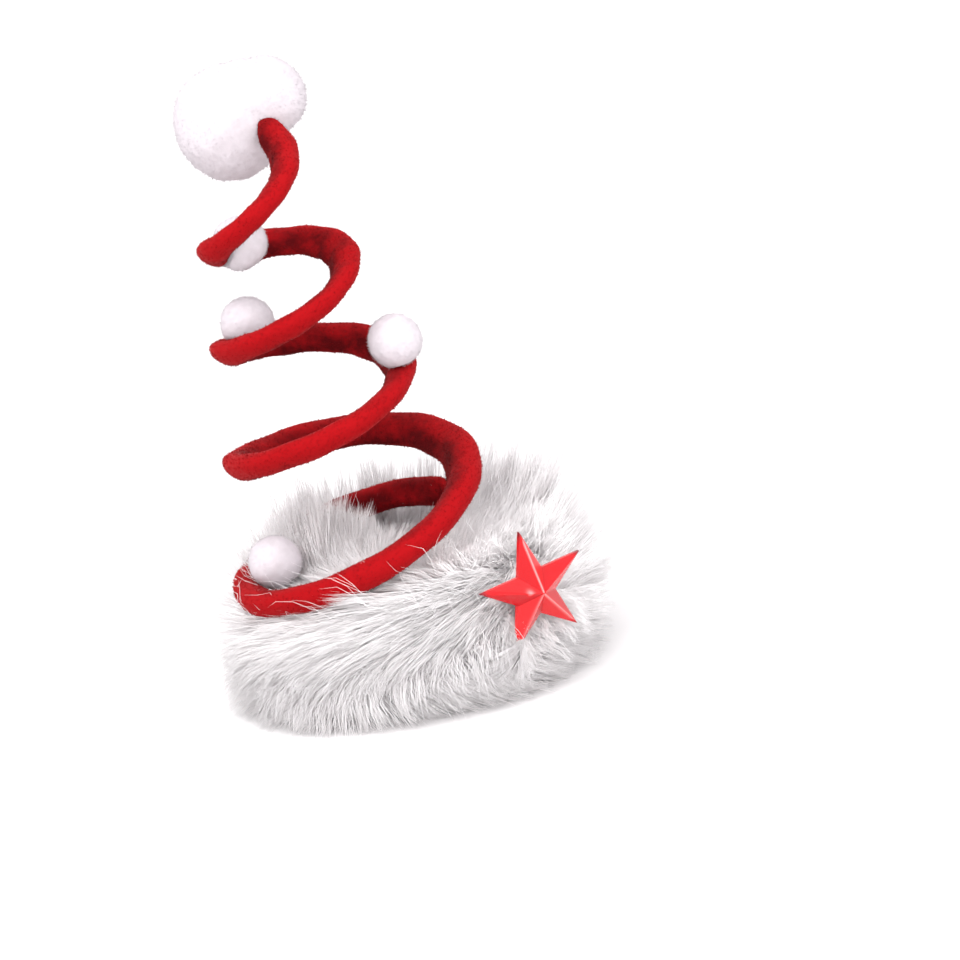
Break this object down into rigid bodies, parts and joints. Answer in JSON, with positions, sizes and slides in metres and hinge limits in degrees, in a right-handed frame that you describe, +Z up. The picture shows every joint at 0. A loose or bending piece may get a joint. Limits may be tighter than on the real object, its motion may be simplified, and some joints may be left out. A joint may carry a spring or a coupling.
{
  "type": "mini santa hat hair clip",
  "caption": "Springy red velvet spiral hat on a fluffy white fur base, with white pompoms, a larger pompom at its tip and a red plastic star, on a hair clip.",
  "frame": {"origin": "middle of the hair clip's flat underside, on which the hat stands", "axes": "+Z up out of the head, -Y towards the front with the star at the front right, +X to the right in front view"},
  "size_m": [0.0857, 0.0845, 0.1313],
  "materials": {
    "fur": "long white faux fur pile",
    "pompom": "dense soft white pile",
    "velvet": "short red velvet pile",
    "star_plastic": "glossy translucent red",
    "steel": "nickel plated"
  },
  "bodies": {
    "root": {"fur_base": "fur", "hair_clip": "steel", "spiral": "velvet", "tip_pompom": "pompom", "pompom_low_left": "pompom", "pompom_right": "pompom", "pompom_mid_left": "pompom", "pompom_high_left": "pompom", "star": "star_plastic"}
  },
  "joints": []
}
